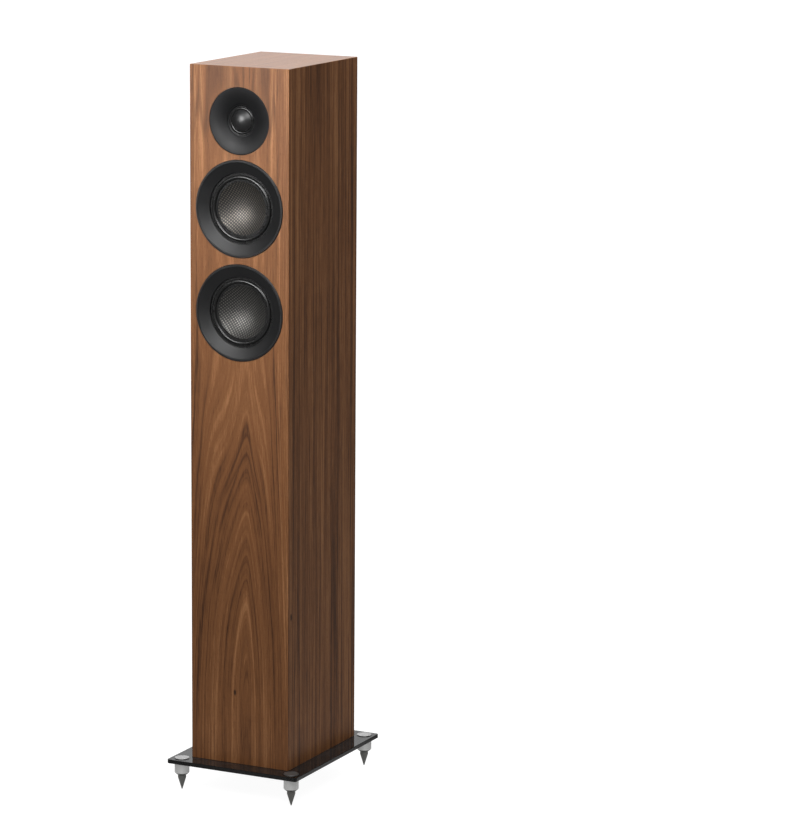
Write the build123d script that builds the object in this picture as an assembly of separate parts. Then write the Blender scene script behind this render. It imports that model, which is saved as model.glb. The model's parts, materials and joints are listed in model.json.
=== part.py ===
"""Floorstanding loudspeaker: a mitred wooden column on a glass plinth with four spikes.

Millimetres. X runs across the front, Y runs from the front to the back, Z is up.
The origin is on the floor, under the centre of the plinth, and the front faces -Y.
"""

import os
from math import cos, radians, sin

from build123d import *

# ---- Cabinet -------------------------------------------------------------------
cabinet_width = 160.0
cabinet_depth = 213.0
cabinet_height = 1023.0
panel_thickness = 18.0
cabinet_edge_radius = 0.7
brace_thickness = 12.0
brace_border = 20.0
brace_heights = (330.0, 590.0)  # above the cabinet's underside
wadding_thickness = 12.0
wadding_end_gap = 8.0
wadding_front_gap = 26.0
wadding_wire_gap = 1.5
wadding_slot_height = 60.0  # room for the woofers' wires, where the pads would reach them

# ---- Plinth and feet -----------------------------------------------------------
plinth_overhang = 27.5
plinth_thickness = 6.0
plinth_corner_radius = 4.0
plinth_edge_chamfer = 0.5
foot_inset = 16.5
foot_radius = 11.0
foot_disc_thickness = 1.0
foot_disc_stud_radius = 4.0
foot_disc_stud_length = 11.0
collar_length = 15.5
spike_shoulder_radius = 10.0
spike_shoulder_length = 4.0
spike_body_radius = 6.15
spike_body_length = 3.7
spike_cone_length = 18.0
spike_tip_radius = 0.6
spike_stud_radius = 4.0
spike_stud_length = 9.3
plinth_screw_setback = (30.0, 32.0)  # in from the cabinet's sides and ends
plinth_washer_radius = 8.0
plinth_washer_thickness = 1.0

# ---- Where the drivers sit -----------------------------------------------------
tweeter_below_top = 77.7
tweeter_to_woofer = 125.7
woofer_spacing = 149.9

# ---- Woofer, with depths measured inwards from the face of the baffle ------------
trim_radius = 70.5
trim_rim_height = 1.4
trim_rim_width = 2.1
trim_bevel = 0.9
trim_skirt_thickness = 3.1
trim_mouth_radius = 51.2
trim_wall = 1.3
funnel_depth = 5.6
flange_depth = 6.6
flange_thickness = 2.4
flange_gap = 0.4
gasket_thickness = 1.0
woofer_hole_radius = 55.0
woofer_screw_circle = 61.5
ledge_radius = 53.0
ledge_width = 6.0
ledge_depth = 8.6
ledge_thickness = 2.4
surround_thickness = 0.6
surround_roll_outer = 48.0
surround_roll_inner = 41.8
cone_edge_radius = 41.5
cone_dish_radius = 38.6
cone_dish_depth = 13.4
cone_thickness = 0.6
cage_wall = 2.6
cage_windows = 6
cage_window_width = 34.0
motor_depth = 38.0
basket_floor_thickness = 2.5
basket_floor_hole = 22.0
spider_ledge_depth = 31.0
spider_ledge_radius = 37.0
spider_thickness = 0.6
spider_waves = 4
spider_wave_height = 1.3
coil_radius = 16.0
coil_former_wall = 0.4
coil_winding = 0.7
coil_winding_length = 13.0
coil_end_depth = 48.0
magnet_gap = 0.6
woofer_plate_radius = 42.0
woofer_plate_thickness = 5.0
woofer_magnet_radius = 44.0
woofer_magnet_bore = 20.0
woofer_magnet_thickness = 15.0
woofer_pole_vent = 4.0
woofer_tag = (7.0, 10.0)

# ---- Tweeter -------------------------------------------------------------------
tweeter_radius = 48.3
tweeter_flange_thickness = 4.0
tweeter_rim_width = 1.7
tweeter_boss_radius = 37.5
horn_throat_radius = 23.0
horn_depth = 6.2
tweeter_bore_radius = 20.5
tweeter_motor_depth = 9.5
dome_radius = 15.0
dome_height = 5.8
dome_thickness = 0.3
dome_edge_depth = 8.5
dome_roll_inner = 16.2
dome_roll_outer = 19.0
dome_roll_height = 1.4
dome_surround_thickness = 0.4
tweeter_coil_radius = 14.9
tweeter_coil_wall = 0.3
tweeter_coil_winding = 0.4
tweeter_coil_length = 7.0
tweeter_magnet_gap = 0.4
tweeter_plate_radius = 32.0
tweeter_plate_thickness = 4.0
tweeter_magnet_radius = 30.0
tweeter_magnet_bore = 18.0
tweeter_magnet_thickness = 8.0
tweeter_screw_circle = 43.0

# ---- Rear panel ----------------------------------------------------------------
port_height = 260.0  # above the cabinet's underside
port_bore_radius = 25.0
port_wall = 2.5
port_flare_radius = 10.0
port_flange_radius = 37.0
port_flange_thickness = 3.0
port_length = 112.0
terminal_height = 100.0
terminal_plate_size = 90.0
terminal_plate_thickness = 3.0
terminal_plate_corner = 6.0
terminal_recess = (64.0, 56.0)
terminal_recess_depth = 22.0
terminal_wall = 2.5
post_spacing = 19.05
post_radius = 3.0
post_socket_radius = 2.0
post_socket_length = 18.0
post_end_depth = 2.0
post_flange_radius = 6.0
post_flange_thickness = 2.0
post_tail_length = 13.0
post_nut_size = 10.0
post_nut_thickness = 4.0
cap_radius = 6.6
cap_end_depth = 1.0
cap_grooves = 12
clamp_washer_thickness = 1.2
clamp_washer_radius = 6.2

# ---- Crossover -----------------------------------------------------------------
crossover_height = 450.0
crossover_width = 84.0
crossover_length = 120.0
crossover_thickness = 1.6
crossover_screw_margin = 6.0
spacer_length = 8.0
spacer_radius = 4.0
inductor_sizes = ((21.0, 16.0), (17.0, 14.0))  # radius, height
inductor_bore = 8.0
capacitor_sizes = ((9.0, 32.0), (9.0, 32.0), (7.0, 24.0))
resistor_size = (9.0, 8.0, 38.0)
wire_radius = 1.1

# ---- Clearances and fastener sizes -----------------------------------------------
rebate_gap = 0.3
hole_gap = 0.1
running_gap = 0.06
rest_gap = 0.1
wood_screw = (3.6, 2.0, 1.7)  # head radius, head height, shank radius
machine_screw = (3.0, 1.8, 1.5)

# ---- Places worked out from the sizes above --------------------------------------
foot_height = spike_cone_length + spike_body_length + spike_shoulder_length
collar_top = foot_height + collar_length
plinth_top = collar_top + plinth_thickness
cabinet_bottom = plinth_top
cabinet_top = cabinet_bottom + cabinet_height
cabinet_middle = (cabinet_bottom + cabinet_top) / 2
front = -cabinet_depth / 2
rear = cabinet_depth / 2
inner_width = cabinet_width - 2 * panel_thickness
inner_depth = cabinet_depth - 2 * panel_thickness
plinth_width = cabinet_width + 2 * plinth_overhang
plinth_depth = cabinet_depth + 2 * plinth_overhang
foot_x = plinth_width / 2 - foot_inset
foot_y = plinth_depth / 2 - foot_inset
tweeter_z = cabinet_top - tweeter_below_top
woofer_zs = {
    "upper": tweeter_z - tweeter_to_woofer,
    "lower": tweeter_z - tweeter_to_woofer - woofer_spacing,
}
feet = {
    "front_left": (-foot_x, -foot_y),
    "front_right": (foot_x, -foot_y),
    "rear_left": (-foot_x, foot_y),
    "rear_right": (foot_x, foot_y),
}
woofer_rebate_depth = flange_depth + flange_thickness + gasket_thickness
flange_radius = trim_radius - trim_skirt_thickness - flange_gap
woofer_wire_x = woofer_plate_radius + 1.5 + woofer_tag[0] - 3.5
pieces = {}


# ---- Shared helpers --------------------------------------------------------------
def outline(start, *steps):
    """Closed face. A step is a point to go straight to, or a pair (point on the way, end) for an arc."""
    edges = []
    here = start
    for step in steps:
        if isinstance(step[0], tuple):
            edges.append(Edge.make_three_point_arc(here, step[0], step[1]))
            here = step[1]
        else:
            edges.append(Edge.make_line(here, step))
            here = step
    if here != start:
        edges.append(Edge.make_line(here, start))
    return Face(Wire(edges))


def turned(*steps):
    """Solid turned from an outline of (radius, depth) points; its axis is Y, and depth grows along +Y."""
    return Solid.revolve(outline(*steps), 360, Axis.Y)


def tube(inner, outer, start, end):
    """Plain ring or disc from one depth to another, on the Y axis."""
    return turned((inner, start), (outer, start), (outer, end), (inner, end))


def on_front(solid, z):
    """Put a solid, built about Y with depth inwards, on the baffle at a height."""
    return Pos(0, front, z) * solid


def on_rear(solid, x, z):
    """Put a solid, built about Y with depth inwards, on the rear panel."""
    return Pos(x, rear, z) * Rot(0, 0, 180) * solid


def upright(solid, x, y, z):
    """Stand a solid that was built about Y on its end, so that depth grows upwards."""
    return Pos(x, y, z) * Rot(90, 0, 0) * solid


def around(count, radius, start=45.0):
    """(x, z) places equally spaced on a circle."""
    angles = [radians(start + 360 * n / count) for n in range(count)]
    return [(radius * cos(a), radius * sin(a)) for a in angles]


def screw(size, length):
    """Pan-head screw with a cross recess. The head's underside is at depth 0, and it points along +Y."""
    head_radius, head_height, shank_radius = size
    crown = head_height * 0.45
    body = turned(
        (0, -head_height),
        ((head_radius * 0.6, -head_height * 0.88), (head_radius, -crown)),
        (head_radius, 0),
        (shank_radius, 0),
        (shank_radius, length - shank_radius),
        (shank_radius * 0.3, length),
        (0, length),
    )
    slot = Box(head_radius * 1.1, head_height * 1.1, head_radius * 0.28)
    recess = slot + Rot(0, 90, 0) * slot
    return body - Pos(0, -head_height, 0) * recess


def group(solids):
    """Several separate solids under one name."""
    flat = []
    for solid in solids:
        flat.extend(solid.solids())
    return Compound(children=flat)


# ---- Cabinet ----------------------------------------------------------------------
def mitred_panel(width, length, face):
    """Panel with all four edges mitred. face is the plane of its outer face, with Z outwards."""
    inside_width = width - 2 * panel_thickness
    inside_length = length - 2 * panel_thickness
    inside = Pos(0, 0, -panel_thickness) * Rectangle(inside_width, inside_length)
    panel = loft([inside, Rectangle(width, length)], ruled=True)
    return face * panel


def softened_block():
    """The cabinet's outer shape, with every edge just broken."""
    block = Pos(0, 0, cabinet_middle) * Box(cabinet_width, cabinet_depth, cabinet_height)
    return fillet(block.edges(), cabinet_edge_radius)


def rebate_for_woofers(panel):
    """The rebates are cut after the box is glued, so they nick the side panels' mitres too."""
    rebate = tube(0, trim_radius + rebate_gap, -1, woofer_rebate_depth)
    for z in woofer_zs.values():
        panel -= on_front(rebate, z)
    return panel


def make_front_baffle(panel):
    """Rebates, holes and screw pilots for the tweeter and both woofers."""
    panel = rebate_for_woofers(panel)
    hole = tube(0, woofer_hole_radius, 0, panel_thickness + 1)
    shank = wood_screw[2] + hole_gap
    pilot = tube(0, shank, 0, panel_thickness - rebate_gap)
    for z in woofer_zs.values():
        panel -= on_front(hole, z)
        for x, dz in around(4, woofer_screw_circle):
            panel -= Pos(x, 0, dz) * on_front(pilot, z)
    tweeter_rebate = tube(0, tweeter_radius + rebate_gap, -1, tweeter_flange_thickness)
    tweeter_hole = tube(0, tweeter_boss_radius + 2 * rebate_gap, 0, panel_thickness + 1)
    panel -= on_front(tweeter_rebate + tweeter_hole, tweeter_z)
    passage = tube(0, machine_screw[2] + rebate_gap, 0, panel_thickness + 1)
    for x, dz in around(4, tweeter_screw_circle):
        panel -= Pos(x, 0, dz) * on_front(passage, tweeter_z)
    return panel


def make_rear_panel(panel):
    """Openings and screw pilots for the reflex port, terminal cup and crossover."""
    port_rebate = tube(0, port_flange_radius + rebate_gap, -1, port_flange_thickness)
    neck = port_bore_radius + port_wall + port_flange_thickness
    port_hole = tube(0, neck + rebate_gap, 0, panel_thickness + 1)
    panel -= on_rear(port_rebate + port_hole, 0, cabinet_bottom + port_height)
    plate = terminal_plate_block(terminal_plate_size + 2 * rebate_gap, terminal_plate_thickness + 1)
    width = terminal_recess[0] + 2 * (terminal_wall + rebate_gap)
    height = terminal_recess[1] + 2 * (terminal_wall + rebate_gap)
    hole = Pos(0, panel_thickness / 2, 0) * Box(width, panel_thickness + 2, height)
    panel -= on_rear(Pos(0, -1, 0) * plate + hole, 0, cabinet_bottom + terminal_height)
    pilot = tube(0, wood_screw[2] + hole_gap, 0, panel_thickness - 2 * terminal_plate_thickness)
    for x, z in terminal_screw_places():
        seat = Pos(0, terminal_plate_thickness, 0) * pilot
        panel -= on_rear(seat, x, z)
    for x, z in crossover_corner_places():
        panel -= Pos(x, rear - panel_thickness, z) * pilot
    return panel


def make_bottom_panel(panel):
    """Pilots for the screws that come up through the plinth."""
    for x, y in plinth_screw_places():
        pilot = tube(0, wood_screw[2] + hole_gap, -1, panel_thickness - 2)
        panel -= upright(pilot, x, y, cabinet_bottom)
    return panel


def panel_planes():
    """Size of each panel, and the plane of its outer face with Z outwards."""
    left, right = -cabinet_width / 2, cabinet_width / 2
    tall = (cabinet_width, cabinet_height)
    side = (cabinet_depth, cabinet_height)
    flat = (cabinet_width, cabinet_depth)
    return {
        "front_baffle": (tall, Plane((0, front, cabinet_middle), x_dir=(1, 0, 0), z_dir=(0, -1, 0))),
        "rear_panel": (tall, Plane((0, rear, cabinet_middle), x_dir=(-1, 0, 0), z_dir=(0, 1, 0))),
        "left_side_panel": (side, Plane((left, 0, cabinet_middle), x_dir=(0, -1, 0), z_dir=(-1, 0, 0))),
        "right_side_panel": (side, Plane((right, 0, cabinet_middle), x_dir=(0, 1, 0), z_dir=(1, 0, 0))),
        "top_panel": (flat, Plane((0, 0, cabinet_top), x_dir=(1, 0, 0), z_dir=(0, 0, 1))),
        "bottom_panel": (flat, Plane((0, 0, cabinet_bottom), x_dir=(1, 0, 0), z_dir=(0, 0, -1))),
    }


def add_cabinet():
    block = softened_block()
    finishing = {
        "front_baffle": make_front_baffle,
        "rear_panel": make_rear_panel,
        "left_side_panel": rebate_for_woofers,
        "right_side_panel": rebate_for_woofers,
        "bottom_panel": make_bottom_panel,
    }
    for name, ((width, length), face) in panel_planes().items():
        panel = block & mitred_panel(width, length, face)
        if name in finishing:
            panel = finishing[name](panel)
        pieces[name] = panel


def brace_places():
    return [cabinet_bottom + height for height in brace_heights]


def add_braces():
    """Window braces that tie the four walls together."""
    window = Box(inner_width - 2 * brace_border, inner_depth - 2 * brace_border, brace_thickness * 2)
    window = fillet(window.edges().filter_by(Axis.Z), brace_border / 2)
    brace = Box(inner_width, inner_depth, brace_thickness) - window
    pieces["cabinet_braces"] = group([Pos(0, 0, z) * brace for z in brace_places()])


def add_wadding():
    """Pads of fibre on both side walls, between the braces."""
    floor = cabinet_bottom + panel_thickness
    ceiling = cabinet_top - panel_thickness
    edges = [floor - brace_thickness / 2, *brace_places(), ceiling + brace_thickness / 2]
    margin = brace_thickness / 2 + wadding_end_gap
    depth = inner_depth - 2 * wadding_front_gap
    slot_end = woofer_wire_x + wire_radius + wadding_wire_gap
    slots = [
        Pos(slot_end / 2, 0, z) * Box(slot_end, depth, wadding_slot_height)
        for z in woofer_zs.values()
    ]
    pads = []
    for low, high in zip(edges, edges[1:]):
        height = high - low - 2 * margin
        pad = Box(wadding_thickness, depth, height)
        for side in (-1, 1):
            x = side * (inner_width - wadding_thickness) / 2
            pads.append(Pos(x, 0, (low + high) / 2) * pad - slots)
    pieces["damping_wadding"] = group(pads)


# ---- Plinth and feet ---------------------------------------------------------------
def plinth_screw_places():
    x = cabinet_width / 2 - plinth_screw_setback[0]
    y = cabinet_depth / 2 - plinth_screw_setback[1]
    return [(sx * x, sy * y) for sx in (-1, 1) for sy in (-1, 1)]


def add_plinth():
    plate = Box(plinth_width, plinth_depth, plinth_thickness)
    plate = fillet(plate.edges().filter_by(Axis.Z), plinth_corner_radius)
    rims = plate.faces().sort_by(Axis.Z)
    plate = chamfer(rims[0].edges() + rims[-1].edges(), plinth_edge_chamfer)
    plate = Pos(0, 0, collar_top + plinth_thickness / 2) * plate
    for x, y in feet.values():
        hole = tube(0, foot_disc_stud_radius + rebate_gap, -1, plinth_thickness + 1)
        plate -= upright(hole, x, y, collar_top)
    for x, y in plinth_screw_places():
        hole = tube(0, wood_screw[2] + rebate_gap, -1, plinth_thickness + 1)
        plate -= upright(hole, x, y, collar_top)
    pieces["glass_plinth"] = plate


def add_plinth_fixings():
    shank = plinth_washer_thickness + plinth_thickness + panel_thickness - 4
    washer = tube(wood_screw[2] + hole_gap, plinth_washer_radius, 0, plinth_washer_thickness)
    seat = collar_top - plinth_washer_thickness
    places = plinth_screw_places()
    pieces["plinth_screws"] = group([upright(screw(wood_screw, shank), x, y, seat) for x, y in places])
    pieces["plinth_washers"] = group([upright(washer, x, y, seat) for x, y in places])


def foot_disc():
    """Flat disc on top of the glass, with the stud that goes down through it into the collar."""
    edge = foot_disc_thickness / 4
    return turned(
        (0, foot_disc_thickness),
        (foot_radius - edge, foot_disc_thickness),
        (foot_radius, foot_disc_thickness - edge),
        (foot_radius, 0),
        (foot_disc_stud_radius, 0),
        (foot_disc_stud_radius, -foot_disc_stud_length),
        (0, -foot_disc_stud_length),
    )


def foot_collar():
    """Turned sleeve under the glass. Its top thread takes the disc, and its bottom thread the spike."""
    bore = spike_stud_radius + running_gap
    top_bore = foot_disc_stud_radius + hole_gap
    web = collar_length - (foot_disc_stud_length - plinth_thickness) - 2 * hole_gap
    edge = 0.4
    return turned(
        (bore, 0),
        (foot_radius - edge, 0),
        (foot_radius, edge),
        (foot_radius, collar_length - edge),
        (foot_radius - edge, collar_length),
        (top_bore, collar_length),
        (top_bore, web),
        (bore, web),
    )


def spike():
    """Steel spike with its threaded stud, standing on its tip at depth 0."""
    cone_top = spike_cone_length
    shoulder = cone_top + spike_body_length
    return turned(
        (0, 0),
        (spike_tip_radius, 0),
        (spike_body_radius, cone_top),
        (spike_body_radius, shoulder),
        (spike_shoulder_radius, foot_height - 0.8),
        (spike_shoulder_radius, foot_height - running_gap),
        (spike_stud_radius, foot_height - running_gap),
        (spike_stud_radius, foot_height + spike_stud_length),
        (0, foot_height + spike_stud_length),
    )


def add_feet():
    places = feet.values()
    pieces["foot_discs"] = group([upright(foot_disc(), x, y, plinth_top) for x, y in places])
    pieces["foot_collars"] = group([upright(foot_collar(), x, y, foot_height) for x, y in places])
    for name, (x, y) in feet.items():
        pieces[name + "_spike"] = upright(spike(), x, y, 0)


# ---- Woofers -----------------------------------------------------------------------
def trim_ring():
    """Black ring around the woofer: a narrow raised rim, then a shallow funnel down to the surround."""
    rim_inner = trim_radius - trim_bevel - trim_rim_width
    funnel_top = rim_inner - trim_bevel
    mouth = trim_mouth_radius + trim_wall
    lip = ledge_depth - surround_thickness
    skirt = trim_radius - trim_skirt_thickness
    return turned(
        (trim_radius, woofer_rebate_depth),
        (trim_radius, trim_bevel - trim_rim_height),
        (trim_radius - trim_bevel, -trim_rim_height),
        (rim_inner, -trim_rim_height),
        (funnel_top, trim_bevel - trim_rim_height),
        (mouth - 0.3, funnel_depth),
        ((trim_mouth_radius + 0.3, funnel_depth + 0.4), (trim_mouth_radius, funnel_depth + 1.2)),
        (trim_mouth_radius, lip),
        (mouth - 0.1, lip),
        (mouth - 0.1, funnel_depth + 0.9),
        (skirt, trim_wall + 0.2),
        (skirt, woofer_rebate_depth),
    )


def basket():
    """Die-cast frame: front flange, surround ledge, windowed cage, spider ledge and motor seat."""
    flange_back = flange_depth + flange_thickness
    cage_front = woofer_hole_radius - 1.6
    cage_start = flange_back + 3.0
    cage_back = woofer_plate_radius + 1.5
    ledge_back = ledge_depth + ledge_thickness
    floor = motor_depth - basket_floor_thickness
    seat_outer = spider_ledge_radius + 4.2
    frame = turned(
        (ledge_radius, flange_depth),
        (flange_radius, flange_depth),
        (flange_radius, flange_back),
        (cage_front + 0.8, flange_back),
        (cage_front, cage_start),
        (cage_back, motor_depth - 4.0),
        (cage_back, motor_depth),
        (basket_floor_hole, motor_depth),
        (basket_floor_hole, floor),
        (spider_ledge_radius, floor),
        (spider_ledge_radius, spider_ledge_depth),
        (seat_outer, spider_ledge_depth),
        (cage_front - cage_wall, ledge_back),
        (ledge_radius - ledge_width, ledge_back),
        (ledge_radius - ledge_width, ledge_depth),
        (ledge_radius, ledge_depth),
    )
    window_start = ledge_back + 2.5
    window_length = spider_ledge_depth - 1.5 - window_start
    window = Box(2 * cage_wall + 14, window_length, cage_window_width)
    window = Pos(cage_front, window_start + window_length / 2, 0) * window
    for n in range(cage_windows):
        frame -= Rot(0, 360 * n / cage_windows + 30, 0) * window
    for x, z in around(4, woofer_screw_circle):
        frame -= Pos(x, flange_depth, z) * tube(0, wood_screw[2] + rebate_gap, -1, flange_thickness + 1)
    tag_length, tag_width = woofer_tag
    tag = Box(tag_length, basket_floor_thickness, tag_width)
    tag_x = cage_back + tag_length / 2 - 1
    return frame + Pos(tag_x, motor_depth - basket_floor_thickness / 2, 0) * tag


def surround():
    """Rubber half roll. Its outer lip is on the basket's ledge, and its inner lip on the cone's edge."""
    lip = ledge_depth - surround_thickness
    middle = (surround_roll_outer + surround_roll_inner) / 2
    half = (surround_roll_outer - surround_roll_inner) / 2
    inner_half = half - surround_thickness
    return turned(
        (ledge_radius - 0.3, lip),
        (surround_roll_outer, lip),
        ((middle, lip - half), (surround_roll_inner, lip)),
        (cone_dish_radius, lip),
        (cone_dish_radius, ledge_depth),
        (middle - inner_half, ledge_depth),
        ((middle, ledge_depth - inner_half), (middle + inner_half, ledge_depth)),
        (ledge_radius - 0.3, ledge_depth),
    )


def dish_depth(radius, offset=0.0):
    """Depth of the cone's front at a radius; the dish is part of a sphere."""
    sphere = (cone_dish_radius**2 + cone_dish_depth**2) / (2 * cone_dish_depth)
    centre = ledge_depth + cone_dish_depth - sphere
    return centre + ((sphere + offset) ** 2 - radius**2) ** 0.5


def cone():
    """Woven dish without a dust cap, with a flat edge that the surround is glued to."""
    middle = cone_dish_radius / 2
    back_edge = cone_dish_radius + 0.2
    return turned(
        (0, dish_depth(0)),
        ((middle, dish_depth(middle)), (cone_dish_radius, dish_depth(cone_dish_radius))),
        (cone_edge_radius, ledge_depth),
        (cone_edge_radius, dish_depth(back_edge, cone_thickness)),
        (back_edge, dish_depth(back_edge, cone_thickness)),
        ((middle, dish_depth(middle, cone_thickness)), (0, dish_depth(0, cone_thickness))),
    )


def voice_coil():
    """Former glued to the back of the dish, with its winding in the magnet's gap."""
    inner = coil_radius - coil_former_wall
    winding = coil_radius + coil_winding
    glue_line = dish_depth(inner, cone_thickness)
    return turned(
        (inner, glue_line),
        (coil_radius, glue_line),
        (coil_radius, coil_end_depth - coil_winding_length - 1),
        (winding, coil_end_depth - coil_winding_length - 1),
        (winding, coil_end_depth - 1),
        (coil_radius, coil_end_depth - 1),
        (coil_radius, coil_end_depth),
        (inner, coil_end_depth),
    )


def spider():
    """Corrugated cloth disc that centres the voice coil."""
    top = spider_ledge_depth - spider_thickness
    wave_start = coil_radius + 3.0
    pitch = (spider_ledge_radius - 0.4 - wave_start) / spider_waves
    waves = []
    for n in range(spider_waves):
        low = wave_start + n * pitch
        rise = spider_wave_height if n % 2 else -spider_wave_height
        waves.append((low, low + pitch / 2, low + pitch, rise))
    there = [((mid, top + rise), (high, top)) for low, mid, high, rise in waves]
    back = []
    for low, mid, high, rise in reversed(waves):
        back.append(((mid, top + rise + spider_thickness), (low, spider_ledge_depth)))
    inner = coil_radius + hole_gap
    outer = spider_ledge_radius + 3.8
    return turned(
        (inner, top),
        (wave_start, top),
        *there,
        (outer, top),
        (outer, spider_ledge_depth),
        (spider_ledge_radius - 0.4, spider_ledge_depth),
        *back,
        (inner, spider_ledge_depth),
    )


def yoke(plate_radius, plate_thickness, front_depth, plate_depth, pole_radius, vent):
    """Back plate and pole in one piece. plate_depth is where the magnet ends."""
    back = plate_depth + plate_thickness
    return turned(
        (vent, front_depth),
        (pole_radius - 0.5, front_depth),
        (pole_radius, front_depth + 0.5),
        (pole_radius, plate_depth),
        (plate_radius, plate_depth),
        (plate_radius, back - 1),
        (plate_radius - 1, back),
        (vent, back),
    )


def add_woofer(name, z):
    plate_end = motor_depth + woofer_plate_thickness
    magnet_end = plate_end + woofer_magnet_thickness
    gap_outer = coil_radius + coil_winding + magnet_gap
    pole = coil_radius - coil_former_wall - magnet_gap
    plate = (woofer_plate_radius, woofer_plate_thickness)
    built = {
        "trim_ring": trim_ring(),
        "basket": basket(),
        "surround": surround(),
        "cone": cone(),
        "voice_coil": voice_coil(),
        "spider": spider(),
        "top_plate": tube(gap_outer, woofer_plate_radius, motor_depth, plate_end),
        "magnet": tube(woofer_magnet_bore, woofer_magnet_radius, plate_end, magnet_end),
        "yoke": yoke(*plate, motor_depth, magnet_end, pole, woofer_pole_vent),
    }
    for piece, solid in built.items():
        pieces[f"{name}_woofer_{piece}"] = on_front(solid, z)


def add_woofer_fixings():
    start = flange_depth + flange_thickness
    gasket = tube(woofer_hole_radius, flange_radius, start, start + gasket_thickness)
    for x, z in around(4, woofer_screw_circle):
        gasket -= Pos(x, 0, z) * tube(0, wood_screw[2] + rebate_gap, 0, woofer_rebate_depth + 1)
    fixing = Pos(0, flange_depth, 0) * screw(wood_screw, panel_thickness - flange_depth - 1)
    places = around(4, woofer_screw_circle)
    screws = [Pos(x, 0, dz) * on_front(fixing, z) for z in woofer_zs.values() for x, dz in places]
    pieces["woofer_gaskets"] = group([on_front(gasket, z) for z in woofer_zs.values()])
    pieces["woofer_screws"] = group(screws)


# ---- Tweeter -----------------------------------------------------------------------
def tweeter_faceplate():
    """Round plate whose face is one smooth horn, down to the dome's surround."""
    rim = tweeter_radius - tweeter_rim_width
    way = (rim + horn_throat_radius) / 2 - 1.5
    plate = turned(
        (tweeter_radius, 0.4),
        (tweeter_radius - 0.4, 0),
        (rim, 0),
        ((way, horn_depth * 0.38), (horn_throat_radius, horn_depth)),
        (horn_throat_radius - 0.5, horn_depth + 1.3),
        (tweeter_bore_radius, horn_depth + 2.0),
        (tweeter_bore_radius, tweeter_motor_depth),
        (tweeter_boss_radius, tweeter_motor_depth),
        (tweeter_boss_radius, tweeter_flange_thickness),
        (tweeter_radius, tweeter_flange_thickness),
    )
    for x, z in around(4, tweeter_screw_circle):
        plate -= Pos(x, 0, z) * tube(0, machine_screw[2] + hole_gap, 1.9, tweeter_flange_thickness + 1)
    return plate


def tweeter_surround():
    """Narrow rolled ring between the dome's edge and the lip held under the horn."""
    lip_back = tweeter_motor_depth
    lip = lip_back - dome_surround_thickness
    middle = (dome_roll_inner + dome_roll_outer) / 2
    half = (dome_roll_outer - dome_roll_inner) / 2
    wall = dome_surround_thickness
    edge = dome_edge_depth
    return turned(
        (tweeter_bore_radius - hole_gap, lip),
        (dome_roll_outer, lip),
        ((middle, lip - dome_roll_height), (dome_roll_inner, lip)),
        (dome_radius + 0.9, edge + wall),
        (dome_radius + 0.9, edge),
        (dome_radius + hole_gap / 2, edge),
        (dome_radius + hole_gap / 2, edge + wall),
        (dome_radius + 0.5, edge + wall),
        (dome_roll_inner - 0.1, lip_back),
        (dome_roll_inner + wall, lip_back),
        ((middle, lip_back - dome_roll_height), (dome_roll_outer - wall, lip_back)),
        (tweeter_bore_radius - hole_gap, lip_back),
    )


def dome():
    """Thin dome, part of a sphere, bulging outwards."""
    sphere = (dome_radius**2 + dome_height**2) / (2 * dome_height)
    crown = dome_edge_depth - dome_height
    centre = crown + sphere
    inner_sphere = sphere - dome_thickness
    middle = dome_radius * 0.55
    inner_edge = dome_radius - dome_thickness
    edge = dome_edge_depth + dome_surround_thickness
    return turned(
        (0, crown),
        ((middle, centre - (sphere**2 - middle**2) ** 0.5), (dome_radius, dome_edge_depth)),
        (dome_radius, edge),
        (inner_edge, edge),
        (inner_edge, centre - (inner_sphere**2 - inner_edge**2) ** 0.5),
        ((middle, centre - (inner_sphere**2 - middle**2) ** 0.5), (0, crown + dome_thickness)),
    )


def add_tweeter():
    plate_end = tweeter_motor_depth + tweeter_plate_thickness
    magnet_end = plate_end + tweeter_magnet_thickness
    inner = tweeter_coil_radius - tweeter_coil_wall
    winding = tweeter_coil_radius + tweeter_coil_winding
    top = dome_edge_depth + dome_surround_thickness
    coil_end = top + tweeter_coil_length
    coil = turned(
        (inner, top),
        (tweeter_coil_radius, top),
        (tweeter_coil_radius, top + 1),
        (winding, top + 1),
        (winding, coil_end - 1),
        (tweeter_coil_radius, coil_end - 1),
        (tweeter_coil_radius, coil_end),
        (inner, coil_end),
    )
    pole = inner - tweeter_magnet_gap
    gap_outer = winding + tweeter_magnet_gap
    magnet = tube(tweeter_magnet_bore, tweeter_magnet_radius, plate_end, magnet_end)
    back = yoke(tweeter_plate_radius, tweeter_plate_thickness, tweeter_motor_depth, magnet_end, pole, 3.0)
    built = {
        "faceplate": tweeter_faceplate(),
        "surround": tweeter_surround(),
        "dome": dome(),
        "voice_coil": coil,
        "top_plate": tube(gap_outer, tweeter_plate_radius, tweeter_motor_depth, plate_end),
        "magnet": magnet,
        "yoke": back,
    }
    for piece, solid in built.items():
        pieces["tweeter_" + piece] = on_front(solid, tweeter_z)
    fixing = Rot(180, 0, 0) * screw(machine_screw, panel_thickness - 2.3)
    fixing = Pos(0, panel_thickness, 0) * fixing
    places = around(4, tweeter_screw_circle)
    pieces["tweeter_screws"] = group([Pos(x, 0, z) * on_front(fixing, tweeter_z) for x, z in places])


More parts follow.
